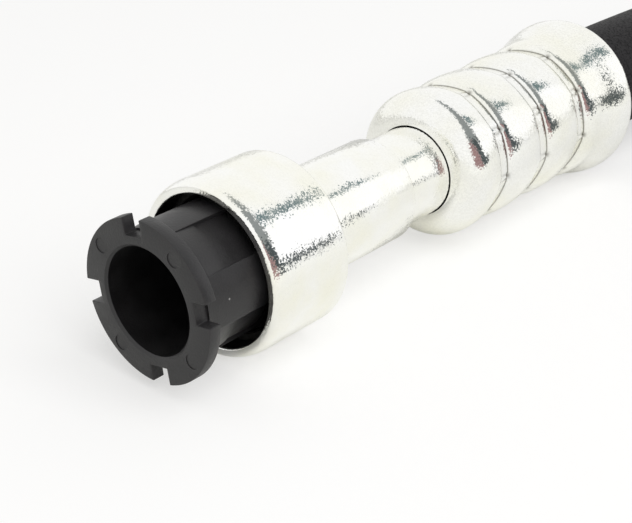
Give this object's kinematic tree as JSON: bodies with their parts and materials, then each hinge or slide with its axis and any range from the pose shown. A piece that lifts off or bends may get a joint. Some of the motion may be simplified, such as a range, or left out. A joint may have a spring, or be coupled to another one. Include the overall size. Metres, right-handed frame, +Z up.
{
  "type": "fuel injection hose",
  "caption": "Fuel injection hose with a zinc-plated push-to-release coupling, a notched black release collar and a ring-crimped ferrule; the far end is a plain beaded pipe.",
  "frame": {"origin": "centre of the base of the coupling with its ferrule, without the hose: on the floor under the middle of its length", "axes": "+Y along the coupling's axis from the release collar towards the hose, +Z up, +X across"},
  "size_m": [0.0894, 0.4187, 0.0194],
  "materials": {
    "collar_plastic": "satin moulded black plastic",
    "zinc_steel": "bright zinc plate, satin, faint yellow-green tint",
    "bush_plastic": "plain black moulded plastic",
    "seal_rubber": "smooth rubber",
    "hose_rubber": "matt rubber"
  },
  "bodies": {
    "coupling": {"coupling_socket": "zinc_steel", "seal_bush": "bush_plastic", "front_o_ring": "seal_rubber", "seal_spacer": "bush_plastic", "rear_o_ring": "seal_rubber", "crimp_ferrule": "zinc_steel", "fuel_hose": "hose_rubber", "pipe_ferrule": "zinc_steel", "pipe_end": "zinc_steel"},
    "collar": {"release_collar": "collar_plastic"}
  },
  "joints": [
    {"name": "collar_press", "type": "slide", "parent": "coupling", "child": "collar", "axis": [0, 1, 0], "range_m": [0, 0.003]}
  ]
}
